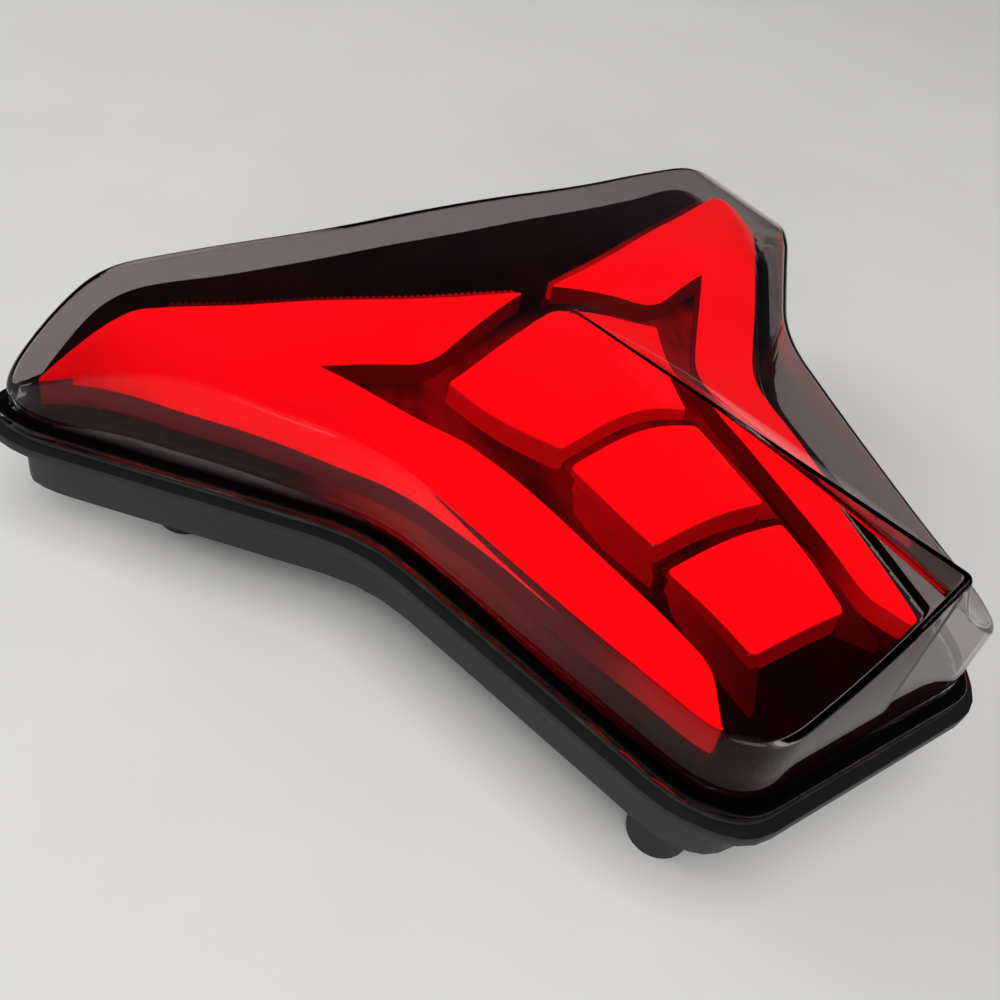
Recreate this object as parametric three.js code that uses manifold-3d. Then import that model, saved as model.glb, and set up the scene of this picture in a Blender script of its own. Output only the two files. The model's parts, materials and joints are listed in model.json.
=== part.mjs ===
// Motorcycle tail light: two swept wing lights, three centre windows in a dark bezel, and a clear
// lens with a raised keel, on a black housing. Millimetres, +Z up, the lamp's tail towards -Y.
// The outlines below are measured from the apex, the point where the two wing lights meet.
import * as THREE from 'three';
import { mergeVertices } from 'three/addons/utils/BufferGeometryUtils.js';
import Module from 'manifold-3d';

const wasm = await Module();
wasm.setup();

// Heights of the light surface over a grid of stations, from the centreline outwards.
const STATION_PITCH = 30;
const FIRST_STATION_Y = -115;
const SURFACE_STATIONS = [
  [-23, -23, -28, -35, -42],
  [-15, -20, -29, -35, -42],
  [-12, -18, -24, -34, -41],
  [-6, -16, -21.5, -30, -38],
  [-1, -5, -9, -20, -34],
  [-1, -1, -3.5, -7.5, -27.5],
];

// Outline corners: x, y and how far the corner is rounded off. Half outlines start at the front
// centre and end at the tail centre.
const WING_OUTLINE = [
  [4, 2, 1.5], [82, 30, 2], [87, 32, 2], [110, 33.5, 3], [52, -29, 9], [31, -105.5, 3],
  [29, -109, 2], [22, -97, 4], [30.3, -36.5, 8], [34.5, -24, 4], [57, 2.2, 0.6], [34, -5.6, 5],
];
const WINDOW_HALVES = [
  [[0, -5.2, 2.5], [31.5, -10.4, 1.5], [18.6, -38.5, 1.5]],
  [[19, -42.2, 2], [16.4, -69.4, 2]],
  [[17.2, -74.6, 2], [13.6, -99, 2]],
];
const LENS_RIM_HALF = [
  [38, 39, 14], [88, 47.7, 8], [116.5, 38, 7], [113, 28.5, 6], [58.5, -30, 12], [38.5, -112, 7],
  [31, -121, 6],
];
const CENTRE_BOARD_HALF = [[31, -7, 2], [27, -38, 4], [18, -101, 3]];
const BAY_HALF = [[32, 20, 4], [32, -70, 4], [26, -98, 4]];

// Levels, counted down from the apex.
const LENS_FOOT_Z = -30;
const FLANGE_TOP = -31.5;
const PAN_FLOOR = -47.5;
const BAY_FLOOR = -63.5;
const BASE_Z = -66;
const WALL = 2.5;
const GAP = 0.3;

const LENS_WALL = 2.2;
const LENS_APEX_Z = 3.5;
const LENS_PITCH = 0.17;
const LENS_FRONT_PITCH = 0.03;
const LENS_CROWN = { tail: 0.0018, front: 0.0008, tailY: -40, frontY: 10 };
const LENS_DIP = { depth: 1.8, width: 22, fullY: -2, endY: 14 };
const LENS_TIP = { start: 85, fall: 0.015 };
const KEEL_FRONT_Y = -4;
const KEEL_FRONT_Z = 1;
const KEEL_RISE = 0.167;
const KEEL_WIDTH = 22;
const LENS_FOOT_WIDTH = 2.6;
const FLANGE_WIDTH = 5;
const PAN_INSET = 1.5;

const BLOCK = { halfWide: 130, long: 200, deep: 60, centreY: -36, across: 18, along: 12, crowding: 1.3 };

const BEZEL_DROP = 5;
const BEZEL_THICKNESS = 2;
const LIGHT_DEPTH = 9;
const LIGHT_CLEARANCE = 0.4;
const WINDOW_STEP = 1.1;
const REFLECTOR_WALL = 1.4;
const BOARD_THICKNESS = 1.6;
const BOARD_TOP = PAN_FLOOR + 6;
const LED_SIZE = 3;
const LED_HEIGHT = 1.1;
const LED_PITCH = 12;
const LED_MARGIN = 4.5;

const DRIVER_BOARD = { x: 0, y: -36, wide: 34, long: 62, top: BAY_FLOOR + 5 };
const DRIVER_PLUG = { x: 12, y: -30, wide: 8, long: 5, high: 4.2 };
const SCREW_SHANK = 1.3;
const SCREW_HEAD = 2.6;
const POST_RADIUS = 3.2;
const BOARD_SCREW = 5.4;
const POST_BORE = SCREW_SHANK + GAP;

const WING_SCREWS = [[66, 8], [38, -62]];
const CENTRE_SCREWS = [[9, -92], [23, -14]];
const BEZEL_TOWERS = [[26, 30], [-26, 30], [0, -111]];
const MOUNT_BOSSES = [[80, 24], [-80, 24], [26, -104], [-26, -104]];
const MOUNT_BOSS_RADIUS = 7;
const RIB = { thick: 2, deep: 7, reach: 8, y: 16, z: PAN_FLOOR - WALL - 3.3 };
const INSERT_RADIUS = 3.6;
const INSERT_BORE = 2.1;
const INSERT_LENGTH = 9;

const SOCKET = { wide: 27, high: 10.4, wall: 1.4, reach: 15, flange: 2.2, z: -57.2 };
const PIN = { wide: 2.3, thick: 0.8, pitch: 7.2 };
const VENT = { x: -52, y: 6, stem: 3, cap: 6.5 };
const WIRE_RADIUS = 0.8;

// The apex sits where the lamp's own box is centred over the origin and stands on z = 0.
const FRONT_EDGE = 47 + FLANGE_WIDTH;
const TAIL_EDGE = 121 + FLANGE_WIDTH;
const APEX = new THREE.Vector3(0, (TAIL_EDGE - FRONT_EDGE) / 2, -BASE_Z);

function finish(color, roughness, metalness) {
  return new THREE.MeshStandardMaterial({ color, roughness, metalness });
}

const BLACK_PLASTIC = finish(0x141416, 0.55, 0);
const CLEAR_LENS = finish(0xb9a3a3, 0.05, 0);
const SMOKED_CHROME = finish(0x2a1214, 0.15, 0.8);
const RED_LIGHT = finish(0xfe0510, 0.35, 0);
const WHITE_PLASTIC = finish(0xe9e8e2, 0.5, 0);
const BOARD_WHITE = finish(0xdfe2df, 0.5, 0);
const BOARD_GREEN = finish(0x14502f, 0.45, 0);
const STEEL = finish(0x9b9da0, 0.3, 1);
const BRASS = finish(0xb08d4a, 0.3, 1);
const SEAL_RUBBER = finish(0x222224, 0.85, 0);
const SILICONE = finish(0xb4562a, 0.7, 0);
const RED_WIRE = finish(0xa61414, 0.5, 0);
const BLACK_WIRE = finish(0x18181a, 0.5, 0);

// ---- solids ----

function solid(geometry) {
  const bare = geometry.clone();
  bare.deleteAttribute('normal');
  bare.deleteAttribute('uv');
  const merged = mergeVertices(bare, 1e-4);
  return new wasm.Manifold(new wasm.Mesh({
    numProp: 3,
    vertProperties: new Float32Array(merged.attributes.position.array),
    triVerts: new Uint32Array(merged.index.array),
  }));
}

function geometryOf(manifold) {
  const mesh = manifold.getMesh();
  const geometry = new THREE.BufferGeometry();
  geometry.setAttribute('position', new THREE.BufferAttribute(new Float32Array(mesh.vertProperties), 3));
  geometry.setIndex(new THREE.BufferAttribute(new Uint32Array(mesh.triVerts), 1));
  geometry.computeVertexNormals();
  return geometry;
}

function box(wide, long, high, x, y, z) {
  return solid(new THREE.BoxGeometry(wide, long, high).translate(x, y, z));
}

function cylinder(radius, zLow, zHigh, x, y, sides = 12) {
  const geometry = new THREE.CylinderGeometry(radius, radius, zHigh - zLow, sides);
  return solid(geometry.rotateX(Math.PI / 2).translate(x, y, (zLow + zHigh) / 2));
}

// ---- outlines ----

const mirrored = (points) => points.map(([x, y, round]) => [-x, y, round]).reverse();

function wholeOutline(half) {
  return [...half, ...mirrored(half.filter(([x]) => x > 0))];
}

// Moves every edge of an outline inwards by distance (outwards when it is negative).
function inset(points, distance) {
  const turn = Math.sign(THREE.ShapeUtils.area(points.map(([x, y]) => new THREE.Vector2(x, y))));
  const inward = (a, b) => {
    const length = Math.hypot(b[0] - a[0], b[1] - a[1]);
    return [(-turn * (b[1] - a[1])) / length, (turn * (b[0] - a[0])) / length];
  };
  return points.map((here, i) => {
    const before = points[(i + points.length - 1) % points.length];
    const after = points[(i + 1) % points.length];
    const n = inward(before, here);
    const m = inward(here, after);
    const reach = distance / (1 + n[0] * m[0] + n[1] * m[1]);
    return [here[0] + reach * (n[0] + m[0]), here[1] + reach * (n[1] + m[1]), here[2]];
  });
}

// Draws the outline with each corner rounded off between two points on its edges.
function shapeOf(points) {
  const shape = new THREE.Shape();
  points.forEach(([x, y, round], i) => {
    const corner = new THREE.Vector2(x, y);
    const towards = (step) => {
      const [nx, ny] = points[(i + points.length + step) % points.length];
      const edge = new THREE.Vector2(nx - x, ny - y);
      return corner.clone().add(edge.setLength(Math.min(round, edge.length() * 0.45)));
    };
    const start = towards(-1);
    const end = towards(1);
    if (i === 0) shape.moveTo(start.x, start.y);
    else shape.lineTo(start.x, start.y);
    shape.quadraticCurveTo(x, y, end.x, end.y);
  });
  shape.closePath();
  return shape;
}

function prism(points, zLow, zHigh, curveSegments = 3) {
  const settings = { depth: zHigh - zLow, bevelEnabled: false, curveSegments };
  return solid(new THREE.ExtrudeGeometry(shapeOf(points), settings).translate(0, 0, zLow));
}

function ringPrism(points, width, zLow, zHigh) {
  return prism(points, zLow, zHigh).subtract(prism(inset(points, width), zLow - 1, zHigh + 1));
}

// ---- surfaces ----

function catmullRom(a, b, c, d, t) {
  const linear = (c - a) * t;
  const square = (2 * a - 5 * b + 4 * c - d) * t * t;
  const cube = (3 * b - a - 3 * c + d) * t * t * t;
  return b + 0.5 * (linear + square + cube);
}

// Height of the lit faces, read between the stations.
function lightSurface(x, y) {
  const across = SURFACE_STATIONS[0].length - 1;
  const along = SURFACE_STATIONS.length - 1;
  const u = Math.min(Math.abs(x) / STATION_PITCH, across - 1e-6);
  const v = THREE.MathUtils.clamp((y - FIRST_STATION_Y) / STATION_PITCH, 0, along - 1e-6);
  const column = Math.floor(u);
  const row = Math.floor(v);
  const height = (i, j) => {
    const line = SURFACE_STATIONS[THREE.MathUtils.clamp(j, 0, along)];
    return line[Math.min(Math.abs(i), across)];
  };
  const line = (j) => catmullRom(...[-1, 0, 1, 2].map((i) => height(column + i, j)), u - column);
  return catmullRom(...[-1, 0, 1, 2].map((j) => line(row + j)), v - row);
}

// The keel climbs straight from the apex to the end wall of the lens.
function keelHeight(y) {
  return KEEL_FRONT_Z + KEEL_RISE * (KEEL_FRONT_Y - y);
}

// The lens falls away towards the tail and both sides, with a shallow dip round the apex and the
// keel standing on its middle from there on. Both wing tips drop further, in a parabola.
function lensSurface(x, y) {
  const towardFront = THREE.MathUtils.smoothstep(y, LENS_CROWN.tailY, LENS_CROWN.frontY);
  const crown = THREE.MathUtils.lerp(LENS_CROWN.tail, LENS_CROWN.front, towardFront);
  const dip = LENS_DIP.depth * (1 - THREE.MathUtils.smoothstep(y, LENS_DIP.fullY, LENS_DIP.endY));
  const middle = LENS_APEX_Z + LENS_PITCH * Math.min(y, 0) - LENS_FRONT_PITCH * Math.max(y, 0);
  const lift = y < KEEL_FRONT_Y ? Math.max(keelHeight(y) - middle + dip, 0) : 0;
  const hollow = dip * Math.exp(-((x / LENS_DIP.width) ** 2));
  const tip = LENS_TIP.fall * Math.max(Math.abs(x) - LENS_TIP.start, 0) ** 2;
  return middle - crown * x * x - hollow - tip + lift * Math.exp(-Math.abs(x) / KEEL_WIDTH);
}

// Everything below a surface, as a block whose top follows it cell by cell. The cells are
// narrower towards the centreline, where the surfaces bend most.
function below(surface) {
  const geometry = new THREE.BoxGeometry(2, BLOCK.long, BLOCK.deep, BLOCK.across, BLOCK.along, 1);
  const position = geometry.attributes.position;
  for (let i = 0; i < position.count; i += 1) {
    const share = position.getX(i);
    const x = Math.sign(share) * BLOCK.halfWide * Math.abs(share) ** BLOCK.crowding;
    const y = position.getY(i) + BLOCK.centreY;
    const top = position.getZ(i) > 0;
    position.setXYZ(i, x, y, top ? surface(x, y) : BASE_Z - BLOCK.deep);
  }
  return solid(geometry);
}

const lowered = (surface, drop) => (x, y) => surface(x, y) - drop;

function plate(points, surface, drop, thickness) {
  const high = prism(points, BASE_Z, 40).intersect(below(lowered(surface, drop)));
  return high.subtract(below(lowered(surface, drop + thickness)));
}

// ---- pieces ----

const rim = wholeOutline(LENS_RIM_HALF);
const pan = inset(rim, PAN_INSET);
const bay = wholeOutline(BAY_HALF);
const wingRight = WING_OUTLINE;
const wingLeft = mirrored(WING_OUTLINE);
const windows = WINDOW_HALVES.map(wholeOutline);
const sides = [['right', 1, wingRight], ['left', -1, wingLeft]];

const lamp = new THREE.Group();
lamp.position.copy(APEX);

function add(name, manifold, material) {
  const mesh = new THREE.Mesh(geometryOf(manifold), material);
  mesh.name = name;
  lamp.add(mesh);
}

const bothSides = (places) => places.flatMap(([x, y]) => [[x, y], [-x, y]]);

function post(x, y, zLow, zHigh) {
  return cylinder(POST_RADIUS, zLow, zHigh, x, y);
}

function driverPosts() {
  const reachX = DRIVER_BOARD.wide / 2 - 4;
  const reachY = DRIVER_BOARD.long / 2 - 4;
  return [[reachX, DRIVER_BOARD.y + reachY], [-reachX, DRIVER_BOARD.y - reachY]];
}

function rearHousing() {
  let body = prism(inset(rim, -FLANGE_WIDTH), FLANGE_TOP - WALL, FLANGE_TOP);
  body = body.add(prism(pan, PAN_FLOOR - WALL, FLANGE_TOP - 1)).add(prism(bay, BASE_Z, PAN_FLOOR - 1));
  body = body.subtract(prism(inset(pan, WALL), PAN_FLOOR, 0));
  body = body.subtract(prism(inset(bay, WALL), BAY_FLOOR, 0));
  for (const [x, y] of MOUNT_BOSSES) {
    const boss = cylinder(MOUNT_BOSS_RADIUS, BASE_Z, PAN_FLOOR - 1, x, y, 28);
    const bore = cylinder(INSERT_RADIUS + GAP, BASE_Z - 1, BASE_Z + INSERT_LENGTH, x, y);
    const rib = box(RIB.thick, 2 * MOUNT_BOSS_RADIUS + RIB.reach, RIB.deep, x, y, RIB.z);
    body = body.add(boss).add(rib).subtract(bore);
  }
  for (const side of [-1, 1]) {
    const reach = MOUNT_BOSSES[0][0] - BAY_HALF[0][0];
    const x = side * (BAY_HALF[0][0] + reach / 2 - 1);
    body = body.add(box(reach, RIB.thick, RIB.deep, x, RIB.y, RIB.z));
  }
  const boardBottom = BOARD_TOP - BOARD_THICKNESS - GAP;
  for (const [x, y] of bothSides(WING_SCREWS)) body = body.add(post(x, y, PAN_FLOOR - 1, boardBottom));
  for (const [x, y] of bothSides(CENTRE_SCREWS)) body = body.add(post(x, y, BASE_Z + 1, boardBottom));
  const driverBottom = DRIVER_BOARD.top - BOARD_THICKNESS - GAP;
  for (const [x, y] of driverPosts()) body = body.add(post(x, y, BASE_Z + 1, driverBottom));
  for (const [x, y] of [...bothSides(WING_SCREWS), ...bothSides(CENTRE_SCREWS), ...driverPosts()]) {
    const floor = Math.abs(x) > BAY_HALF[0][0] ? PAN_FLOOR : BAY_FLOOR;
    body = body.subtract(cylinder(POST_BORE, floor, 0, x, y));
  }
  for (const [x, y] of BEZEL_TOWERS) {
    body = body.subtract(cylinder(SCREW_SHANK + GAP, PAN_FLOOR - WALL - 1, PAN_FLOOR + 1, x, y));
  }
  const window = box(SOCKET.wide + 2 * GAP, 12, SOCKET.high + 2 * GAP, 0, BAY_HALF[0][1], SOCKET.z);
  return body.subtract(window).subtract(cylinder(VENT.stem + GAP, PAN_FLOOR - 9, 0, VENT.x, VENT.y));
}

function outerLens() {
  const outside = prism(rim, LENS_FOOT_Z, 40).intersect(below(lensSurface));
  const ceiling = below(lowered(lensSurface, LENS_WALL * 1.15));
  const inside = prism(inset(rim, LENS_WALL), BASE_Z, 40).intersect(ceiling);
  const foot = prism(inset(rim, -LENS_FOOT_WIDTH), LENS_FOOT_Z, LENS_FOOT_Z + LENS_WALL);
  return outside.add(foot).subtract(inside);
}

function lensGasket() {
  const width = LENS_FOOT_WIDTH + LENS_WALL;
  return ringPrism(inset(rim, -LENS_FOOT_WIDTH), width, FLANGE_TOP + GAP, LENS_FOOT_Z - GAP);
}

// Each window's top starts just under the light surface and climbs to it, so the three overlap
// like scales.
function windowSurface(points) {
  const ys = points.map(([, y]) => y);
  const front = Math.max(...ys);
  const back = Math.min(...ys);
  return (x, y) => {
    const share = THREE.MathUtils.clamp((front - y) / (front - back), 0, 1);
    return lightSurface(x, y) - WINDOW_STEP * (1 - share) + 0.3;
  };
}

function bezelFrame() {
  let frame = plate(inset(rim, LENS_WALL + GAP), lightSurface, BEZEL_DROP, BEZEL_THICKNESS);
  for (const light of [wingRight, wingLeft, ...windows]) {
    frame = frame.subtract(prism(inset(light, -LIGHT_CLEARANCE), BASE_Z, 40));
  }
  for (const [x, y] of BEZEL_TOWERS) {
    const top = lightSurface(x, y) - BEZEL_DROP - BEZEL_THICKNESS / 2;
    frame = frame.add(cylinder(POST_RADIUS, PAN_FLOOR + GAP, top, x, y));
    frame = frame.subtract(cylinder(SCREW_SHANK + GAP, PAN_FLOOR - 1, PAN_FLOOR + 14, x, y));
  }
  return frame;
}

const wingLight = (points) => plate(points, lightSurface, 0, LIGHT_DEPTH);
const windowLight = (points) => plate(points, windowSurface(points), 0, LIGHT_DEPTH);

// A white trough that stands on the board and carries the light guide on its rim.
function reflector(points) {
  const wall = ringPrism(inset(points, 0.6), REFLECTOR_WALL, BOARD_TOP + GAP, 10);
  return wall.intersect(below(lowered(lightSurface, LIGHT_DEPTH + 1.2)));
}

function insideOutline(points, x, y) {
  return points.reduce((inside, [ax, ay], i) => {
    const [bx, by] = points[(i + 1) % points.length];
    const crosses = ay > y !== by > y && x < ((bx - ax) * (y - ay)) / (by - ay) + ax;
    return crosses ? !inside : inside;
  }, false);
}

function ledPlaces(lit, taken) {
  const room = inset(lit, LED_MARGIN);
  const places = [];
  for (let y = FIRST_STATION_Y; y < FRONT_EDGE; y += LED_PITCH) {
    for (let x = -13 * LED_PITCH; x <= 13 * LED_PITCH; x += LED_PITCH) {
      const free = taken.every(([sx, sy]) => Math.hypot(x - sx, y - sy) > LED_SIZE + SCREW_HEAD);
      if (free && insideOutline(room, x, y)) places.push([x, y]);
    }
  }
  return places;
}

function ledBoard(points, litOutlines, screws) {
  let board = prism(points, BOARD_TOP - BOARD_THICKNESS, BOARD_TOP, 2);
  for (const [x, y] of litOutlines.flatMap((lit) => ledPlaces(lit, screws))) {
    board = board.add(box(LED_SIZE, LED_SIZE, LED_HEIGHT + 0.2, x, y, BOARD_TOP + LED_HEIGHT / 2 - 0.1));
  }
  for (const [x, y] of screws) {
    board = board.subtract(cylinder(POST_BORE, BOARD_TOP - 5, BOARD_TOP + 1, x, y));
  }
  return board;
}

function driverBoard() {
  const { x, y, wide, long, top } = DRIVER_BOARD;
  const plug = DRIVER_PLUG;
  const middle = top - BOARD_THICKNESS / 2;
  let board = box(wide, long, BOARD_THICKNESS, x, y, middle);
  board = board.add(box(9, 9, 2, x - 6, y + 16, top + 0.9));
  board = board.add(box(5, 7, 1.6, x, y - 4, top + 0.7));
  board = board.add(box(12, 12, 5.4, x + 6, y - 14, top + 2.6));
  for (const side of [-1, 1]) {
    board = board.add(cylinder(3.1, top - 0.2, top + 7, x + 4 + side * 5, y - 25, 16));
    board = board.add(box(plug.wide, plug.long, plug.high, side * plug.x, plug.y, top + 2));
  }
  for (const [sx, sy] of driverPosts()) {
    board = board.subtract(cylinder(POST_BORE, top - 5, top + 1, sx, sy));
  }
  return board;
}

// A pan-head screw with a recess, its head on the upper side of what it holds.
function screw(x, y, seat, length) {
  const profile = [
    [0, -length], [SCREW_SHANK, 1.2 - length], [SCREW_SHANK, 0], [SCREW_HEAD, 0],
    [SCREW_HEAD, 0.9], [SCREW_HEAD * 0.6, 1.8], [0, 0.8],
  ].map(([r, z]) => new THREE.Vector2(r, z));
  return solid(new THREE.LatheGeometry(profile, 10).rotateX(Math.PI / 2).translate(x, y, seat));
}

function invertedScrew(x, y, seat, length) {
  return screw(0, 0, 0, length).rotate([180, 0, 0]).translate([x, y, seat]);
}

function threadedInsert(x, y) {
  const shell = cylinder(INSERT_RADIUS, BASE_Z + GAP, BASE_Z + INSERT_LENGTH - GAP, x, y, 24);
  return shell.subtract(cylinder(INSERT_BORE, BASE_Z - 1, BASE_Z + INSERT_LENGTH, x, y, 16));
}

function connectorSocket() {
  const wallY = BAY_HALF[0][1];
  const { wide, high, wall, reach, flange, z } = SOCKET;
  const backY = wallY - WALL - 2;
  const shell = box(wide, reach + wallY - backY, high, 0, (wallY + reach + backY) / 2, z);
  const collar = box(wide + 5, flange, high + 2.6, 0, wallY + 1 + flange / 2 + GAP, z);
  const mouth = box(wide - 2 * wall, reach, high - 2 * wall, 0, wallY + reach / 2 + 2, z);
  const latch = box(7, reach * 0.5, 1.2, 0, wallY + reach * 0.6, z + high / 2 + 0.4);
  let socket = shell.add(collar).subtract(mouth).add(latch);
  for (const x of pinPlaces()) {
    socket = socket.subtract(box(PIN.wide + 2 * GAP, 40, PIN.thick + 2 * GAP, x, wallY, z));
  }
  return socket;
}

const pinPlaces = () => [-1, 0, 1].map((i) => i * PIN.pitch);

function connectorSeal() {
  const { wide, high, z } = SOCKET;
  const y = BAY_HALF[0][1] + 0.5 + GAP / 2;
  const band = box(wide + 4, 1 - GAP, high + 2.2, 0, y, z);
  return band.subtract(box(wide + 2 * GAP, 4, high + 2 * GAP, 0, y, z));
}

function breatherVent() {
  const bottom = PAN_FLOOR - WALL;
  const profile = [
    [0, bottom - 6], [VENT.cap - 1.5, bottom - 6], [VENT.cap, bottom - 4.5], [VENT.cap, bottom - GAP],
    [VENT.stem, bottom - GAP], [VENT.stem, PAN_FLOOR + 2], [0, PAN_FLOOR + 2],
  ].map(([r, z]) => new THREE.Vector2(r, z));
  return solid(new THREE.LatheGeometry(profile, 20).rotateX(Math.PI / 2).translate(VENT.x, VENT.y, 0));
}

// A lead from one board to another, as a round wire on a smooth curve.
function lead(points) {
  const route = new THREE.CatmullRomCurve3(points.map(([x, y, z]) => new THREE.Vector3(x, y, z)));
  const section = new THREE.Shape();
  section.absarc(0, 0, WIRE_RADIUS, 0, Math.PI * 2);
  const settings = { steps: 11, curveSegments: 4, extrudePath: route, bevelEnabled: false };
  return solid(new THREE.ExtrudeGeometry(section, settings));
}

function supplyLead(x) {
  const socketBack = BAY_HALF[0][1] - WALL - 2 - 4;
  const boardEdge = DRIVER_BOARD.y + DRIVER_BOARD.long / 2 - 4;
  const pad = DRIVER_BOARD.top + WIRE_RADIUS + GAP;
  return lead([
    [x, socketBack, SOCKET.z], [x, socketBack - 5, SOCKET.z - 0.5], [x, boardEdge + 3, pad + 1],
    [x, boardEdge, pad],
  ]);
}

function wingLead(side, offset) {
  const start = DRIVER_PLUG.x + DRIVER_PLUG.wide / 2 + GAP;
  const y = DRIVER_PLUG.y + offset;
  const height = DRIVER_BOARD.top + DRIVER_PLUG.high / 2;
  const landing = BOARD_TOP - BOARD_THICKNESS - WIRE_RADIUS - GAP;
  const halfRoute = [
    [start, y, height], [22, y, height + 2], [26, y + 1, -54],
    [27.6, y + 2, PAN_FLOOR], [31, y + 3, landing - 0.6], [38, y + 3, landing],
  ];
  return lead(halfRoute.map(([x, py, z]) => [side * x, py, z]));
}

// ---- assembly ----

add('rear_housing', rearHousing(), BLACK_PLASTIC);
add('lens_gasket', lensGasket(), SEAL_RUBBER);
add('outer_lens', outerLens(), CLEAR_LENS);
add('bezel_frame', bezelFrame(), SMOKED_CHROME);
windows.forEach((points, i) => add(`centre_light_${i + 1}`, windowLight(points), RED_LIGHT));
windows.forEach((points, i) => add(`centre_reflector_${i + 1}`, reflector(points), WHITE_PLASTIC));

for (const [name, side, points] of sides) {
  const screws = WING_SCREWS.map(([x, y]) => [side * x, y]);
  add(`wing_light_${name}`, wingLight(points), RED_LIGHT);
  add(`wing_reflector_${name}`, reflector(points), WHITE_PLASTIC);
  add(`wing_board_${name}`, ledBoard(points, [points], screws), BOARD_WHITE);
  screws.forEach(([x, y], i) => {
    add(`wing_board_screw_${name}_${i + 1}`, screw(x, y, BOARD_TOP + GAP, BOARD_SCREW), STEEL);
  });
  add(`lead_${name}_red`, wingLead(side, 1.2), RED_WIRE);
  add(`lead_${name}_black`, wingLead(side, -1.2), BLACK_WIRE);
}

const centreOutline = wholeOutline(CENTRE_BOARD_HALF);
add('centre_board', ledBoard(centreOutline, windows, bothSides(CENTRE_SCREWS)), BOARD_WHITE);
bothSides(CENTRE_SCREWS).forEach(([x, y], i) => {
  add(`centre_board_screw_${i + 1}`, screw(x, y, BOARD_TOP + GAP, BOARD_SCREW), STEEL);
});

add('driver_board', driverBoard(), BOARD_GREEN);
driverPosts().forEach(([x, y], i) => {
  add(`driver_board_screw_${i + 1}`, screw(x, y, DRIVER_BOARD.top + GAP, 4.4), STEEL);
});
BEZEL_TOWERS.forEach(([x, y], i) => {
  add(`bezel_screw_${i + 1}`, invertedScrew(x, y, PAN_FLOOR - WALL - GAP, 14), STEEL);
});
MOUNT_BOSSES.forEach(([x, y], i) => {
  add(`mount_insert_${i + 1}`, threadedInsert(x, y), BRASS);
});

add('connector_socket', connectorSocket(), BLACK_PLASTIC);
add('connector_seal', connectorSeal(), SILICONE);
pinPlaces().forEach((x, i) => {
  const pin = box(PIN.wide, 18, PIN.thick, x, BAY_HALF[0][1] + 1.5, SOCKET.z);
  add(`connector_pin_${i + 1}`, pin, BRASS);
  add(`supply_lead_${i + 1}`, supplyLead(x), i === 0 ? RED_WIRE : BLACK_WIRE);
});
add('breather_vent', breatherVent(), SEAL_RUBBER);

export default lamp;
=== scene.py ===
"""Motorcycle tail light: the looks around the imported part.

The lamp's own pieces are drawn in millimetres from the apex, the point where the two wing lights
meet, and settled into the part's frame when they are done. +Z is up out of the lens and the tail
points to -Y.
"""

import json
import math

import bmesh
import bpy
from mathutils import Matrix, Quaternion, Vector


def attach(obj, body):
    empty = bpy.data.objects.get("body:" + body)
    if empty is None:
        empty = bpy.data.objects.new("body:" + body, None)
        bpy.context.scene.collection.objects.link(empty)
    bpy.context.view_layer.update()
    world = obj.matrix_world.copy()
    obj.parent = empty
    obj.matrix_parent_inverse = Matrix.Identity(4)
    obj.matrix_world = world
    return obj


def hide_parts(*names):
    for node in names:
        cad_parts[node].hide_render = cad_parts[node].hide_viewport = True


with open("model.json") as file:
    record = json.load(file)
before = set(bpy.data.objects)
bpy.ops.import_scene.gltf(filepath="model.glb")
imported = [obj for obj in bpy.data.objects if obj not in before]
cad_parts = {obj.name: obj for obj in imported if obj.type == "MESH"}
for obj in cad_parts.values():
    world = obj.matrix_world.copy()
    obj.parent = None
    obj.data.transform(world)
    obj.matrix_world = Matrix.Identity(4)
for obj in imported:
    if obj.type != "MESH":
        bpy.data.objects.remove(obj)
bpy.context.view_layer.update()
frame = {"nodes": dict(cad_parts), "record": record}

APEX = Vector((0.0, 0.037, 0.066))
MM = 0.001

# ---- camera, lights and floor ----


def aim(thing, target, roll=0.0):
    """Turns a camera or light at target, then rolls it about its own line of sight."""
    line = Vector(target) - thing.location
    turn = line.to_track_quat("-Z", "Y") @ Quaternion((0, 0, 1), math.radians(roll))
    thing.rotation_mode = "QUATERNION"
    thing.rotation_quaternion = turn


def set_camera():
    lens = bpy.data.cameras.new("view")
    lens.lens = 39.6
    lens.sensor_width = 36
    lens.clip_start = 0.01
    camera = bpy.data.objects.new("view", lens)
    camera.location = (-0.1519, -0.1322, 0.2064)
    aim(camera, (-0.0343, -0.0029, 0.0450), roll=13.19)
    bpy.context.scene.collection.objects.link(camera)
    bpy.context.scene.camera = camera


def soft_light(name, location, size, watts, mirrored_in_gloss=False):
    lamp = bpy.data.lights.new(name, "AREA")
    lamp.shape = "DISK"
    lamp.size = size
    lamp.energy = watts
    light = bpy.data.objects.new(name, lamp)
    light.location = location
    light.visible_glossy = light.visible_transmission = mirrored_in_gloss
    aim(light, (0, 0, 0.03))
    bpy.context.scene.collection.objects.link(light)


def light_the_studio():
    """Only the low key light shows in the gloss, so that the lit faces stay clear of glare."""
    world = bpy.data.worlds.new("studio")
    world.use_nodes = True
    world.node_tree.nodes["Background"].inputs["Color"].default_value = (0.9, 0.92, 1.0, 1)
    world.node_tree.nodes["Background"].inputs["Strength"].default_value = 0.06
    bpy.context.scene.world = world
    soft_light("key", (-2.0, -1.7, 0.75), 1.0, 22, mirrored_in_gloss=True)
    soft_light("overhead_fill", (-0.6, -0.9, 2.2), 2.4, 66)
    soft_light("front_fill", (-1.4, 2.0, 1.2), 2.0, 34)
    bpy.context.scene.view_settings.view_transform = "Standard"
    bpy.context.scene.view_settings.look = "None"


# ---- shader maths ----


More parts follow.
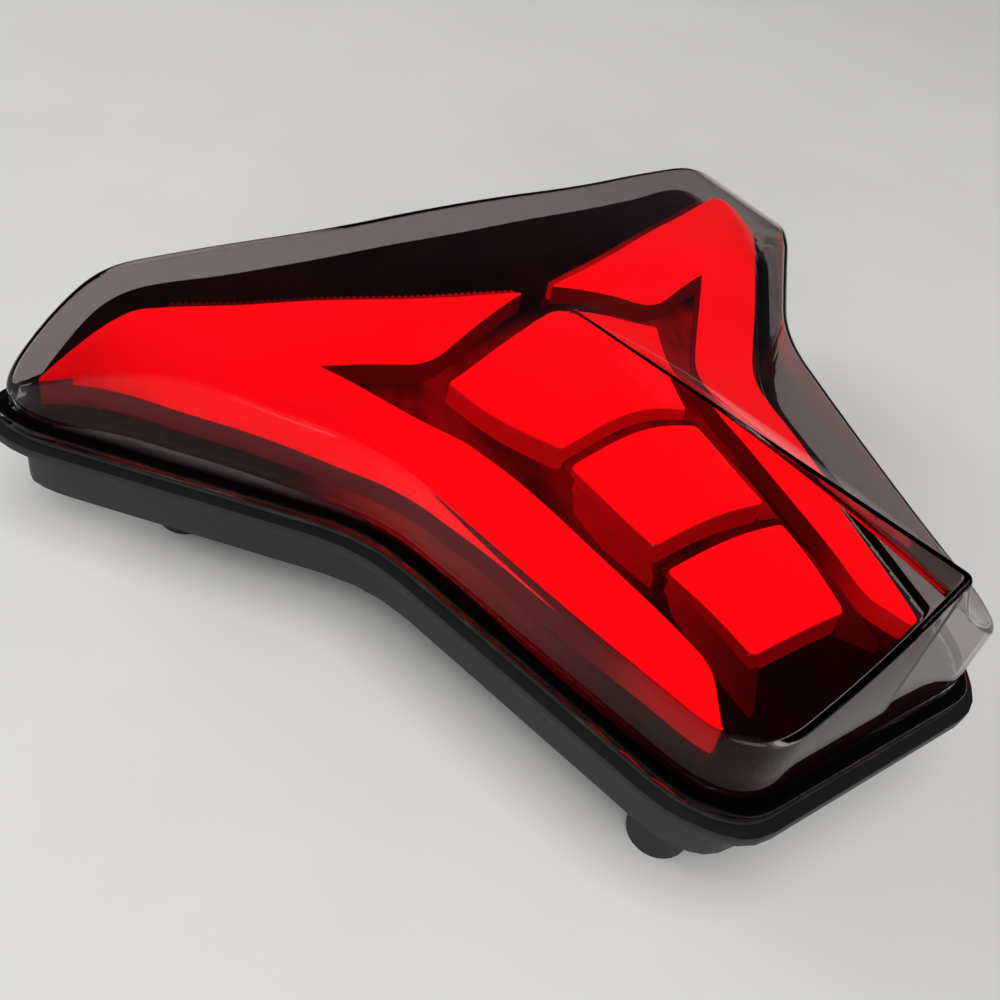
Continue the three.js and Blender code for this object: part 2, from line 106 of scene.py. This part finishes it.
class Field:
    """A value that changes over a surface, with the arithmetic that the finishes use."""

    def __init__(self, finish, socket):
        self.finish = finish
        self.socket = socket

    def maths(self, operation, *others):
        values = dict(enumerate((self, *others)))
        return self.finish.node("ShaderNodeMath", {"operation": operation}, values)

    def __add__(self, other):
        return self.maths("ADD", other)

    def __mul__(self, other):
        return self.maths("MULTIPLY", other)

    def __sub__(self, other):
        return self.maths("SUBTRACT", other)

    def __rsub__(self, other):
        return self * -1 + other

    __radd__ = __add__
    __rmul__ = __mul__

    def rise(self, low, high, bottom=0.0, top=1.0):
        """Runs smoothly from bottom to top while the value goes from low to high."""
        values = {"Value": self, "From Min": low, "From Max": high, "To Min": bottom, "To Max": top}
        return self.finish.node("ShaderNodeMapRange", {"interpolation_type": "SMOOTHSTEP"}, values)


class Finish:
    """A procedural material in the making. Patterns read the piece's own place, in metres."""

    def __init__(self, name, colour, roughness, **settings):
        self.material = bpy.data.materials.new(name)
        self.material.use_nodes = True
        self.tree = self.material.node_tree
        self.shader = self.tree.nodes["Principled BSDF"]
        self.set("Base Color", (*colour, 1))
        self.set("Roughness", roughness)
        for socket, value in settings.items():
            self.set(socket.replace("_", " "), value)
        self.place = self.node("ShaderNodeTexCoord", output="Object")

    def set(self, socket, value):
        self.plug(self.shader.inputs[socket], value)

    def plug(self, socket, value):
        if isinstance(value, Field):
            self.tree.links.new(value.socket, socket)
        else:
            socket.default_value = value

    def node(self, kind, settings=None, values=None, output=0):
        made = self.tree.nodes.new(kind)
        for setting, value in (settings or {}).items():
            setattr(made, setting, value)
        for socket, value in (values or {}).items():
            self.plug(made.inputs[socket], value)
        return Field(self, made.outputs[output])

    def noise(self, grain_mm, detail=3.0, stretch=(1, 1, 1)):
        """Noise whose blotches are about grain_mm across."""
        values = {"Vector": self.stretched(stretch), "Scale": 1000 / grain_mm, "Detail": detail}
        return self.node("ShaderNodeTexNoise", None, values)

    def cells(self, size_mm):
        """Rounded cells about size_mm across, 0 in the middle of each."""
        values = {"Vector": self.place, "Scale": 1000 / size_mm}
        return self.node("ShaderNodeTexVoronoi", None, values)

    def stretched(self, stretch):
        if tuple(stretch) == (1, 1, 1):
            return self.place
        return self.node("ShaderNodeMapping", None, {"Vector": self.place, "Scale": stretch})

    def axis(self, name):
        return self.node("ShaderNodeSeparateXYZ", None, {"Vector": self.place}, name)

    def facing_up(self):
        normal = self.node("ShaderNodeNewGeometry", output="Normal")
        return self.node("ShaderNodeSeparateXYZ", None, {"Vector": normal}, "Z")

    def blend(self, share, first, second):
        """The colour first where share is 0, second where it is 1."""
        colours = [c if isinstance(c, Field) else (*c, 1) for c in (first, second)]
        values = {0: share, 6: colours[0], 7: colours[1]}
        return self.node("ShaderNodeMix", {"data_type": "RGBA"}, values, 2)

    def bump(self, height, depth_mm, strength=1.0):
        values = {"Height": height, "Distance": depth_mm * MM, "Strength": strength}
        self.set("Normal", self.node("ShaderNodeBump", None, values))


# ---- finishes ----

RED = (1.0, 0.0016, 0.005)
GLOW = 1.95


def lit_red_finish(name, tail_leak, front_leak, front_y=0.02):
    """Light guides, evenly lit on top. The leaks are the shares of light that leave their sides."""
    finish = Finish(name, (0.10, 0.002, 0.003), 0.22, Emission_Strength=GLOW)
    top = finish.facing_up().rise(0.55, 0.93)
    leak = finish.axis("Y").rise(-0.065, front_y, tail_leak, front_leak)
    side = leak * (0.8 + 0.4 * finish.noise(9))
    haze = finish.noise(14, 2)
    level = top * (0.97 + 0.04 * haze) + (1 - top) * side
    finish.set("Emission Color", finish.blend(level, (0.004, 0, 0), RED))
    finish.set("Roughness", 0.18 + 0.12 * finish.noise(1.2))
    finish.bump(finish.cells(0.8), 0.01, 0.3)
    return finish.material


def painted_glow_trim_finish(name, axis, dark_end, bright_end, dark, bright):
    """Clear red acrylic with a painted glow for the light it picks up from the guides beside it,
    from dark to bright.
    """
    finish = Finish(name, (0.09, 0.002, 0.003), 0.2, Emission_Strength=GLOW)
    place = finish.axis(axis).maths("ABSOLUTE") if axis == "X" else finish.axis(axis)
    level = place.rise(dark_end, bright_end, dark, bright)
    glow_ripple = 0.7 + 0.6 * finish.noise(3.5, 2, (1, 0.5, 1))
    finish.set("Emission Color", finish.blend(level * glow_ripple, (0.002, 0, 0), RED))
    finish.set("Roughness", 0.14 + 0.14 * finish.noise(1.5))
    return finish.material


def smoked_bezel_finish():
    """Smoked chrome carrying a little painted red glow for the guides' light, more of it near the
    front.
    """
    finish = Finish("smoked_chrome", (0.05, 0.004, 0.006), 0.14, Metallic=0.55,
                    Emission_Strength=GLOW)
    # Painted glow mask: faded out at the front border and the sides, stronger towards the front,
    # broken into painted streaks.
    inner = finish.axis("Y").rise(0.030, 0.037, 1.0, 0.0)
    forward = finish.axis("Y").rise(-0.07, 0.035) * inner
    across = finish.axis("X").maths("ABSOLUTE").rise(0.052, 0.072, 1.0, 0.0)
    glow_streak = finish.noise(16, 2, (1.6, 0.6, 1)).rise(0.38, 0.62)
    level = (0.004 + 0.16 * forward * across) * (0.35 + 0.9 * glow_streak)
    finish.set("Emission Color", finish.blend(level, (0, 0, 0), RED))
    finish.set("Roughness", 0.10 + 0.10 * finish.noise(2.5))
    cloudy = finish.blend(finish.noise(6), (0.05, 0.003, 0.005), (0.09, 0.006, 0.009))
    finish.set("Base Color", cloudy)
    return finish.material


def clear_lens_finish():
    """A lightly smoked lens, thin enough to bend and mirror light only a little."""
    finish = Finish("clear_lens", (0.53, 0.48, 0.48), 0.0, IOR=1.22, Transmission_Weight=1.0)
    finish.set("Specular Tint", (0.6, 0.6, 0.6, 1))
    smear = finish.noise(30, 4, (1, 0.4, 1)).rise(0.5, 0.75)
    specks = finish.cells(2.2).rise(0.0, 0.06, 1.0, 0.0)
    finish.set("Roughness", 0.008 + 0.02 * smear + 0.15 * specks)
    finish.bump(finish.noise(22, 1), 0.02, 0.15)
    return finish.material


def black_plastic_finish(name, colour, grain_mm, roughness):
    """Moulded black plastic: fine spark-eroded grain, faint flow marks, paler flecks of dust."""
    finish = Finish(name, colour, roughness, Specular_IOR_Level=0.3)
    grain = finish.cells(grain_mm)
    flow = finish.noise(18, 4, (1, 0.5, 1))
    dust = finish.noise(1.1, 5).rise(0.62, 0.8)
    worn = tuple(c * 1.9 + 0.004 for c in colour)
    finish.set("Base Color", finish.blend(0.35 * flow + 0.45 * dust, colour, worn))
    finish.set("Roughness", roughness - 0.08 + 0.14 * flow + 0.08 * grain)
    finish.bump(grain + 0.5 * finish.noise(grain_mm * 0.6), 0.03, 0.55)
    return finish.material


def white_plastic_finish():
    finish = Finish("white_reflector", (0.8, 0.79, 0.75), 0.42)
    haze = finish.noise(12, 4)
    finish.set("Base Color", finish.blend(haze, (0.82, 0.81, 0.77), (0.70, 0.68, 0.63)))
    finish.set("Roughness", 0.34 + 0.16 * finish.noise(3))
    finish.bump(finish.noise(0.5), 0.01, 0.4)
    return finish.material


def plated_steel_finish():
    """Zinc-plated screws: bluish blotches and turning marks."""
    finish = Finish("zinc_plated_steel", (0.55, 0.56, 0.57), 0.3, Metallic=1.0)
    blotch = finish.noise(1.6, 4)
    finish.set("Base Color", finish.blend(blotch, (0.44, 0.46, 0.50), (0.66, 0.66, 0.64)))
    finish.set("Roughness", 0.22 + 0.25 * finish.noise(0.5))
    finish.bump(finish.noise(0.25, 2, (1, 1, 6)), 0.01, 0.4)
    return finish.material


def circuit_board_finish(name, mask, trace, pitch_mm):
    """Solder mask over copper: raised traces on a square pitch, with bare pads between them."""
    finish = Finish(name, mask, 0.4)
    tracks = finish.node("ShaderNodeTexBrick", {"offset": 0.37}, {
        "Vector": finish.place, "Scale": 1000 / (pitch_mm * 4), "Mortar Size": 0.03,
        "Color1": (0, 0, 0, 1), "Color2": (0, 0, 0, 1), "Mortar": (1, 1, 1, 1)})
    pads = finish.cells(pitch_mm).rise(0.10, 0.16, 1.0, 0.0)
    with_tracks = finish.blend(tracks * 0.6 + 0.12 * finish.noise(4), mask, trace)
    finish.set("Base Color", finish.blend(pads, with_tracks, (0.62, 0.60, 0.55)))
    finish.set("Metallic", pads * 0.9)
    finish.set("Roughness", 0.42 - 0.12 * pads + 0.08 * finish.noise(1))
    finish.bump(tracks + 0.3 * finish.noise(0.3), 0.035, 0.6)
    return finish.material


def brass_finish():
    finish = Finish("turned_brass", (0.70, 0.50, 0.24), 0.3, Metallic=1.0)
    tarnish = finish.noise(2.4, 5).rise(0.4, 0.7)
    finish.set("Base Color", finish.blend(tarnish, (0.74, 0.53, 0.26), (0.42, 0.27, 0.12)))
    finish.set("Roughness", 0.24 + 0.22 * tarnish)
    finish.bump(finish.noise(0.2, 1, (1, 1, 8)), 0.015, 0.5)
    return finish.material


def rubber_finish(name, colour, bloom):
    """Moulded rubber or silicone with a pale bloom in patches."""
    finish = Finish(name, colour, 0.7)
    patch = finish.noise(7, 5).rise(0.45, 0.75)
    finish.set("Base Color", finish.blend(patch * 0.5, colour, bloom))
    finish.set("Roughness", 0.62 + 0.22 * finish.noise(1.5))
    finish.bump(finish.noise(0.35, 4), 0.03, 0.5)
    return finish.material


def wire_finish(name, colour, scuffed):
    finish = Finish(name, colour, 0.38)
    scuff = finish.noise(1.4, 4).rise(0.5, 0.8)
    finish.set("Base Color", finish.blend(scuff, colour, scuffed))
    finish.set("Roughness", 0.3 + 0.25 * scuff)
    finish.bump(finish.noise(0.3), 0.01, 0.4)
    return finish.material


def floor_finish():
    finish = Finish("pale_floor", (0.62, 0.61, 0.59), 0.6)
    mottle = finish.noise(60, 4)
    finish.set("Base Color", finish.blend(mottle, (0.60, 0.59, 0.57), (0.66, 0.65, 0.63)))
    finish.set("Roughness", 0.55 + 0.15 * finish.noise(8))
    finish.bump(finish.noise(1.5), 0.03, 0.3)
    return finish.material


HOUSING_BLACK = (0.007, 0.007, 0.0075)
CONNECTOR_BLACK = (0.02, 0.02, 0.022)
WHITE_MASK = (0.74, 0.75, 0.72)
WHITE_TRACES = (0.62, 0.65, 0.60)
GREEN_MASK = (0.02, 0.14, 0.06)
GREEN_TRACES = (0.05, 0.27, 0.12)

finishes = {
    "black_plastic": black_plastic_finish("grained_black_plastic", HOUSING_BLACK, 0.55, 0.46),
    "connector_plastic": black_plastic_finish(
        "connector_black_plastic", CONNECTOR_BLACK, 0.35, 0.52),
    "clear_lens": clear_lens_finish(),
    "smoked_bezel": smoked_bezel_finish(),
    "red_light": lit_red_finish("lit_red_window", 0.13, 0.36),
    "white_plastic": white_plastic_finish(),
    "screw_steel": plated_steel_finish(),
    "led_board": circuit_board_finish("white_circuit_board", WHITE_MASK, WHITE_TRACES, 3.0),
    "driver_board": circuit_board_finish("green_circuit_board", GREEN_MASK, GREEN_TRACES, 1.6),
    "brass": brass_finish(),
    "seal_rubber": rubber_finish("black_seal_rubber", (0.016, 0.016, 0.017), (0.06, 0.06, 0.06)),
    "orange_silicone": rubber_finish("orange_silicone", (0.55, 0.16, 0.05), (0.66, 0.30, 0.16)),
    "red_wire": wire_finish("red_insulation", (0.45, 0.012, 0.012), (0.5, 0.08, 0.07)),
    "black_wire": wire_finish("black_insulation", (0.015, 0.015, 0.017), (0.07, 0.07, 0.07)),
}
wing_finish = lit_red_finish("lit_red_wing", 0.30, 0.05, front_y=-0.04)
# Claws and wing trims are no lamps: their red glow is painted light from the guides beside them.
claw_finish = painted_glow_trim_finish("glowing_claw", "Y", -0.070, -0.018, 0.03, 0.26)
wing_trim_finish = painted_glow_trim_finish("serrated_wing_trim", "X", 0.058, 0.018, 0.06, 0.34)
slot_of = {part["node"]: part["material_slot"] for part in frame["record"]["subparts"]}

# ---- outlines, in millimetres from the apex ----

WING = [
    (4, 2, 1.5), (82, 30, 2), (87, 32, 2), (110, 33.5, 3), (52, -29, 9), (31, -105.5, 3),
    (29, -109, 2), (22, -97, 4), (30.3, -36.5, 8), (34.5, -24, 4), (57, 2.2, 0.6), (34, -5.6, 5),
]
WINDOW_HALVES = [
    [(0, -5.2, 2.5), (31.5, -10.4, 1.5), (18.6, -38.5, 1.5)],
    [(19, -42.2, 2), (16.4, -69.4, 2)],
    [(17.2, -74.6, 2), (13.6, -99, 2)],
]
LENS_RIM_HALF = [
    (38, 39, 14), (88, 47.7, 8), (116.5, 38, 7), (113, 28.5, 6), (58.5, -30, 12), (38.5, -112, 7),
    (31, -121, 6),
]


def mirrored(points):
    return [(-x, y, rounding) for x, y, rounding in reversed(points)]


def whole(half):
    return half + mirrored([point for point in half if point[0] > 0])


def inset(points, distance):
    """Moves every edge of an outline inwards, or outwards when distance is negative."""
    size = len(points)
    pairs = [(points[i - 1], points[i]) for i in range(size)]
    area = sum(a[0] * b[1] - b[0] * a[1] for a, b in pairs)
    turn = math.copysign(1, area)

    def inward(a, b):
        length = math.hypot(b[0] - a[0], b[1] - a[1])
        return Vector((-turn * (b[1] - a[1]) / length, turn * (b[0] - a[0]) / length))

    moved = []
    for i, (x, y, rounding) in enumerate(points):
        n = inward(points[i - 1], points[i])
        m = inward(points[i], points[(i + 1) % size])
        step = (n + m) * (distance / (1 + n.dot(m)))
        moved.append((x + step.x, y + step.y, rounding))
    return moved


def rounded(points, steps=8):
    """The outline with its corners rounded off, as a ring of points, counter-clockwise."""
    ring = []
    for i, (x, y, rounding) in enumerate(points):
        corner = Vector((x, y))
        back = Vector(points[i - 1][:2]) - corner
        on = Vector(points[(i + 1) % len(points)][:2]) - corner
        start = corner + back.normalized() * min(rounding, back.length * 0.45)
        end = corner + on.normalized() * min(rounding, on.length * 0.45)
        for k in range(steps + 1):
            t = k / steps
            ring.append(start * (1 - t) ** 2 + corner * 2 * t * (1 - t) + end * t * t)
    area = sum(ring[i - 1].x * ring[i].y - ring[i].x * ring[i - 1].y for i in range(len(ring)))
    return ring if area > 0 else ring[::-1]


# ---- surfaces ----

STATION_PITCH = 30
FIRST_STATION_Y = -115
STATIONS = [
    [-23, -23, -28, -35, -42],
    [-15, -20, -29, -35, -42],
    [-12, -18, -24, -34, -41],
    [-6, -16, -21.5, -30, -38],
    [-1, -5, -9, -20, -34],
    [-1, -1, -3.5, -7.5, -27.5],
]


def catmull_rom(a, b, c, d, t):
    linear = (c - a) * t
    square = (2 * a - 5 * b + 4 * c - d) * t * t
    cube = (3 * b - a - 3 * c + d) * t * t * t
    return b + 0.5 * (linear + square + cube)


def light_surface(x, y):
    """Height of the lit faces, read between the stations."""
    across, along = len(STATIONS[0]) - 1, len(STATIONS) - 1
    u = min(abs(x) / STATION_PITCH, across - 1e-6)
    v = min(max((y - FIRST_STATION_Y) / STATION_PITCH, 0), along - 1e-6)
    column, row = int(u), int(v)

    def line(j):
        heights = STATIONS[min(max(row + j, 0), along)]
        near = [heights[min(abs(column + i), across)] for i in (-1, 0, 1, 2)]
        return catmull_rom(*near, u - column)

    return catmull_rom(*[line(j) for j in (-1, 0, 1, 2)], v - row)


LENS_APEX_Z = 3.5
LENS_PITCH = 0.17
LENS_FRONT_PITCH = 0.03
KEEL_FRONT_Y = -4
KEEL_FRONT_Z = 1
KEEL_RISE = 0.167
KEEL_WIDTH = 22
DIP_DEPTH = 1.8
DIP_WIDTH = 22
TIP_START = 85
TIP_FALL = 0.015


def keel_height(y):
    """The keel climbs straight from the apex to the end wall of the lens."""
    return KEEL_FRONT_Z + KEEL_RISE * (KEEL_FRONT_Y - y)


def smooth(value, low, high):
    share = min(max((value - low) / (high - low), 0), 1)
    return share * share * (3 - 2 * share)


def lens_surface(x, y):
    """Falls to the tail, both sides and the wing tips, dips at the apex, and carries the keel."""
    crown = 0.0018 - 0.001 * smooth(y, -40, 10)
    dip = DIP_DEPTH * (1 - smooth(y, -2, 14))
    middle = LENS_APEX_Z + LENS_PITCH * min(y, 0) - LENS_FRONT_PITCH * max(y, 0)
    lift = max(keel_height(y) - middle + dip, 0) * (1 - smooth(y, KEEL_FRONT_Y - 10, KEEL_FRONT_Y))
    hollow = dip * math.exp(-((x / DIP_WIDTH) ** 2))
    tip = TIP_FALL * max(abs(x) - TIP_START, 0) ** 2
    return middle - crown * x * x - hollow - tip + lift * math.exp(-abs(x) / KEEL_WIDTH)


# ---- modelling steps ----


def deselect():
    if bpy.context.object and bpy.context.object.mode != "OBJECT":
        bpy.ops.object.mode_set(mode="OBJECT")
    bpy.ops.object.select_all(action="DESELECT")


def pick(piece):
    deselect()
    piece.select_set(True)
    bpy.context.view_layer.objects.active = piece


def slab(name, ring, low, high):
    """A flat plate with the outline of ring, from low to high."""
    deselect()
    bpy.ops.mesh.primitive_circle_add(vertices=len(ring), radius=1, fill_type="NGON")
    plate = bpy.context.object
    plate.name = plate.data.name = name
    for vertex, point in zip(plate.data.vertices, ring):
        vertex.co = (point.x, point.y, low)
    bpy.ops.object.mode_set(mode="EDIT")
    bpy.ops.mesh.select_all(action="SELECT")
    bpy.ops.mesh.extrude_region_move(TRANSFORM_OT_translate={"value": (0, 0, high - low)})
    bpy.ops.mesh.select_all(action="SELECT")
    bpy.ops.mesh.normals_make_consistent(inside=False)
    bpy.ops.object.mode_set(mode="OBJECT")
    return plate


def modify(piece, kind, **settings):
    pick(piece)
    modifier = piece.modifiers.new(kind.lower(), kind)
    for setting, value in settings.items():
        setattr(modifier, setting, value)
    bpy.ops.object.modifier_apply(modifier=modifier.name)


def cut(piece, cutter, operation="DIFFERENCE"):
    modify(piece, "BOOLEAN", operation=operation, object=cutter, solver="EXACT")
    bpy.data.objects.remove(cutter)


def soften(piece, width, segments=3, angle=40):
    """Rounds every edge sharper than angle."""
    modify(piece, "BEVEL", width=width, segments=segments, limit_method="ANGLE",
           angle_limit=math.radians(angle), use_clamp_overlap=True, loop_slide=True)


def slice_up(piece, pitch, close_to_keel=()):
    """Cuts a plate into cells by planes across and along it, so that it can follow a curve."""
    mesh = bmesh.new()
    mesh.from_mesh(piece.data)
    for axis in (0, 1):
        places = [v.co[axis] for v in mesh.verts]
        first = math.floor(min(places) / pitch) + 1
        cuts = [k * pitch for k in range(first, math.ceil(max(places) / pitch))]
        for place in cuts + (list(close_to_keel) if axis == 0 else []):
            point = Vector((0, 0, 0))
            point[axis] = place
            normal = Vector((0, 0, 0))
            normal[axis] = 1
            bmesh.ops.bisect_plane(mesh, geom=mesh.verts[:] + mesh.edges[:] + mesh.faces[:],
                                   dist=0.02, plane_co=point, plane_no=normal)
    mesh.to_mesh(piece.data)
    mesh.free()


def raise_by(piece, height):
    for vertex in piece.data.vertices:
        vertex.co.z += height(vertex.co.x, vertex.co.y)


def settle(piece, angle=35):
    """Brings a finished piece from millimetres at the apex into the part's frame."""
    piece.data.transform(Matrix.Translation(APEX) @ Matrix.Scale(MM, 4))
    pick(piece)
    bpy.ops.object.mode_set(mode="EDIT")
    bpy.ops.mesh.select_all(action="SELECT")
    bpy.ops.mesh.remove_doubles(threshold=1e-6)
    bpy.ops.object.mode_set(mode="OBJECT")
    bpy.ops.object.shade_smooth_by_angle(angle=math.radians(angle))


def fit(piece, slot, finish=None):
    """Gives a finished piece its finish and fixes it to the lamp."""
    piece.data.materials.clear()
    piece.data.materials.append(finish or finishes[slot])
    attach(piece, "root")


def take_place(piece, node, finish=None):
    """Fits a piece that stands for a CAD node."""
    fit(piece, slot_of[node], finish)
    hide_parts(node)


# ---- light guides ----

LIGHT_DEPTH = 9
LIGHT_EDGE = 0.55
WINDOW_STEP = 1.1
WINDOW_PROUD = 0.3


def window_rise(points):
    """Each window starts a little low at its front edge and climbs to its back edge."""
    front = max(y for _, y, _ in points)
    back = min(y for _, y, _ in points)

    def height(x, y):
        share = min(max((front - y) / (front - back), 0), 1)
        return light_surface(x, y) - WINDOW_STEP * (1 - share) + WINDOW_PROUD

    return height


def light_guide(name, points, height):
    guide = slab(name, rounded(points), -LIGHT_DEPTH, 0)
    soften(guide, LIGHT_EDGE, segments=3)
    slice_up(guide, 3)
    raise_by(guide, height)
    settle(guide, 60)
    return guide


def make_light_guides():
    for side, points in (("right", WING), ("left", mirrored(WING))):
        guide = light_guide(f"wing_guide_{side}", points, light_surface)
        take_place(guide, f"wing_light_{side}", wing_finish)
    for i, half in enumerate(WINDOW_HALVES, 1):
        points = whole(half)
        guide = light_guide(f"window_guide_{i}", points, window_rise(points))
        take_place(guide, f"centre_light_{i}")


# ---- bezel ----

BEZEL_DROP = 5
BEZEL_THICKNESS = 2
BEZEL_MARGIN = 2.5
OPENING_GAP = 0.4


def make_bezel():
    edge = rounded(inset(whole(LENS_RIM_HALF), BEZEL_MARGIN))
    bezel = slab("bezel_plate", edge, -BEZEL_DROP - BEZEL_THICKNESS, -BEZEL_DROP)
    for light in [WING, mirrored(WING)] + [whole(half) for half in WINDOW_HALVES]:
        cut(bezel, slab("opening", rounded(inset(light, -OPENING_GAP)), -20, 5))
    soften(bezel, 0.3, segments=2)
    slice_up(bezel, 2)
    raise_by(bezel, light_surface)
    settle(bezel)
    take_place(bezel, "bezel_frame")


# ---- claws, ribs and serrated trims on the bezel ----

# Each claw runs back along a window's side and ends in a point behind it.
CLAWS = {
    "upper_claw": [
        (19, -46, 0.3), (21.8, -50, 1.5), (22, -60, 4), (19.3, -74.5, 0.5), (16.7, -70, 0.5),
    ],
    "tail_claw": [
        (17.2, -77, 0.3), (19.4, -82, 1.5), (19.8, -93, 4), (18.6, -107, 0.5), (11.5, -99.9, 0.5),
        (13.9, -99.5, 0.3),
    ],
}
# Each rib stands in front of a window and turns back a little at both corners.
RIB_HALVES = {
    "upper_rib": [(19.9, -40.1, 1.4), (19.9, -45.6, 0.2), (19.3, -45.6, 0.2), (19.3, -40.8, 1.0)],
    "tail_rib": [(18.1, -72.5, 1.4), (18.1, -76.6, 0.2), (17.5, -76.6, 0.2), (17.5, -73.2, 1.0)],
}
DETAIL_FOOT = -5.3
CLAW_TOP = -2.4
RIB_TOP = -1.2
TRIM_TOP = -0.9
TRIM_START = Vector((5.0, 2.4))
TRIM_END = Vector((81.0, 29.7))
TRIM_BACK = 0.6
TOOTH_PITCH = 1.5
TOOTH_TIP = 2.2
TOOTH_ROOT = 1.4


def raised_strip(name, ring, top, edge=0.0):
    """A strip standing on the bezel, which follows it from end to end."""
    strip = slab(name, ring, DETAIL_FOOT, top)
    if edge:
        soften(strip, edge, segments=2)
    slice_up(strip, 3)
    raise_by(strip, light_surface)
    settle(strip, 40)
    return strip


def trim_ring(side):
    """A strip just outside a wing's front edge, with fine teeth on its outer side."""
    along = (TRIM_END - TRIM_START).normalized()
    out = Vector((-along.y, along.x))
    length = (TRIM_END - TRIM_START).length
    ring = [TRIM_START + out * TRIM_BACK, TRIM_END + out * TRIM_BACK]
    for k in range(int(length / TOOTH_PITCH), 0, -1):
        tooth = TRIM_START + along * (k * TOOTH_PITCH)
        ring.append(tooth + out * TOOTH_TIP)
        ring.append(tooth - along * (TOOTH_PITCH * 0.55) + out * TOOTH_ROOT)
    ring = [Vector((side * point.x, point.y)) for point in ring]
    return ring if side > 0 else ring[::-1]


def make_bezel_details():
    for name, points in CLAWS.items():
        for side, shape in (("right", points), ("left", mirrored(points))):
            claw = raised_strip(f"{name}_{side}", rounded(shape, 5), CLAW_TOP, 0.5)
            fit(claw, "red_light", claw_finish)
    for name, half in RIB_HALVES.items():
        fit(raised_strip(name, rounded(whole(half), 5), RIB_TOP, 0.15), "smoked_bezel")
    for name, side in (("right", 1), ("left", -1)):
        trim = raised_strip(f"wing_trim_{name}", trim_ring(side), TRIM_TOP)
        fit(trim, "red_light", wing_trim_finish)


# ---- lens ----

LENS_FOOT_Z = -30
LENS_FOOT_WIDTH = 2.6
LENS_FOOT_THICKNESS = 2.2
LENS_FLAT_TOP = 30
LENS_TOP = 1.0
LENS_SIDE = 1.5
SHOULDER = 1.8
INNER_SHOULDER = 0.8


def dome(name, points, low, high, shoulder):
    """A block with a wide rounded shoulder all round its top."""
    block = slab(name, rounded(points, 10), low, high)
    modify(block, "BEVEL", width=shoulder, segments=8, limit_method="ANGLE",
           angle_limit=math.radians(60), use_clamp_overlap=False)
    return block


def make_lens():
    """The shell is cut while its top is still flat, then sliced up and raised to its curve."""
    rim = whole(LENS_RIM_HALF)
    lens = dome("lens_shell", rim, 0, LENS_FLAT_TOP, SHOULDER)
    foot_ring = rounded(inset(rim, -LENS_FOOT_WIDTH), 10)
    foot = slab("lens_foot", foot_ring, 0, LENS_FOOT_THICKNESS)
    soften(foot, 0.4, segments=2)
    cut(lens, foot, "UNION")
    hollow_rim = inset(rim, LENS_SIDE)
    cut(lens, dome("lens_hollow", hollow_rim, -20, LENS_FLAT_TOP - LENS_TOP, INNER_SHOULDER))
    slice_up(lens, 2, close_to_keel=(-0.35, 0.35))
    for vertex in lens.data.vertices:
        x, y, z = vertex.co
        if z > LENS_FLAT_TOP / 2:
            vertex.co.z = z - LENS_FLAT_TOP + lens_surface(x, y)
        else:
            vertex.co.z = z + LENS_FOOT_Z
    settle(lens)
    take_place(lens, "outer_lens")


# ---- the other pieces ----


def tidy_copy(node, width_mm, angle=35):
    """A copy of a CAD piece with its triangles joined up and its edges broken."""
    source = frame["nodes"][node]
    piece = source.copy()
    piece.data = source.data.copy()
    piece.name = piece.data.name = node + "_finished"
    piece.parent = None
    bpy.context.scene.collection.objects.link(piece)
    for key in [key for key in piece.keys() if key.startswith("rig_")]:
        del piece[key]
    pick(piece)
    bpy.ops.object.mode_set(mode="EDIT")
    bpy.ops.mesh.select_all(action="SELECT")
    bpy.ops.mesh.remove_doubles(threshold=2e-6)
    bpy.ops.mesh.dissolve_limited(angle_limit=math.radians(1.0))
    bpy.ops.object.mode_set(mode="OBJECT")
    if piece.data.has_custom_normals:
        bpy.ops.mesh.customdata_custom_splitnormals_clear()
    if width_mm:
        modify(piece, "BEVEL", width=width_mm * MM, segments=2, limit_method="ANGLE",
               angle_limit=math.radians(angle), use_clamp_overlap=True)
    pick(piece)
    bpy.ops.object.shade_smooth_by_angle(angle=math.radians(angle))
    take_place(piece, node)


EDGE_BREAK = {
    "black_plastic": 0.35, "connector_plastic": 0.25, "seal_rubber": 0.2, "screw_steel": 0.12,
    "brass": 0.12, "orange_silicone": 0.2,
}
KEPT_AS_PACKED = ("led_board", "driver_board", "white_plastic")


def finish_the_rest():
    """Breaks the edges of the other CAD pieces. Boards, troughs and gasket only get a finish."""
    lights = {node for node, slot in slot_of.items() if slot == "red_light"}
    for node in sorted(set(slot_of) - lights - {"outer_lens", "bezel_frame"}):
        slot = slot_of[node]
        if node == "lens_gasket" or slot in KEPT_AS_PACKED:
            for holder in frame["nodes"][node].material_slots:
                holder.material = finishes[slot]
        else:
            tidy_copy(node, EDGE_BREAK.get(slot, 0))


def make_floor():
    deselect()
    bpy.ops.mesh.primitive_plane_add(size=6)
    floor = bpy.context.object
    floor.name = "floor"
    floor.data.materials.append(floor_finish())


set_camera()
light_the_studio()
make_light_guides()
make_bezel()
make_bezel_details()
make_lens()
finish_the_rest()
make_floor()

bpy.context.view_layer.update()
